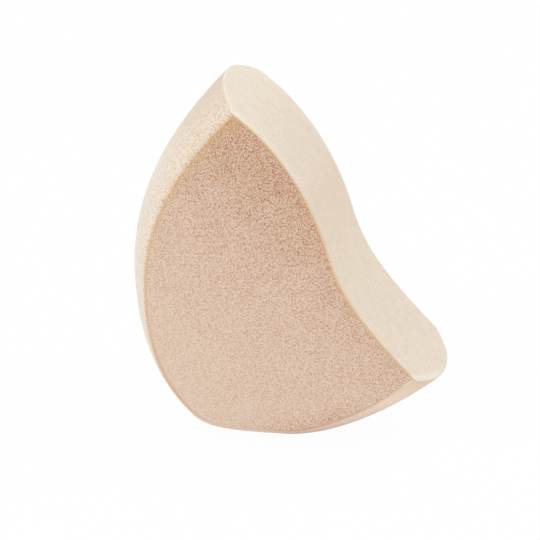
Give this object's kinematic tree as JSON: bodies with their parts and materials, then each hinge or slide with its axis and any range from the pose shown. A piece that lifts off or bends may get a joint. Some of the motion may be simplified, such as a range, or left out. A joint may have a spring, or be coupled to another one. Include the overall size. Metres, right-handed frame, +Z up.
{
  "type": "makeup sponge",
  "caption": "Curved makeup sponge: a domed foam drop cut flat front and back, with an S-curved velvet side, for blending and dabbing cosmetics.",
  "frame": {"origin": "bottom centre of the bounding box, level with the flat that the heel rests on", "axes": "+Z up, +X from the domed side towards the curved side's low tip, +Y from the front flat face to the back one"},
  "size_m": [0.0535, 0.026, 0.0617],
  "materials": {
    "open_cell_foam": "matt open-cell polyurethane foam, cut, pink-beige",
    "moulded_foam_skin": "matt dense foam skin, moulded, cream",
    "velvet_layer": "short velvety flock, cream"
  },
  "bodies": {
    "root": {"foam_core": "open_cell_foam", "moulded_skin": "moulded_foam_skin", "velvet_face": "velvet_layer"}
  },
  "joints": []
}
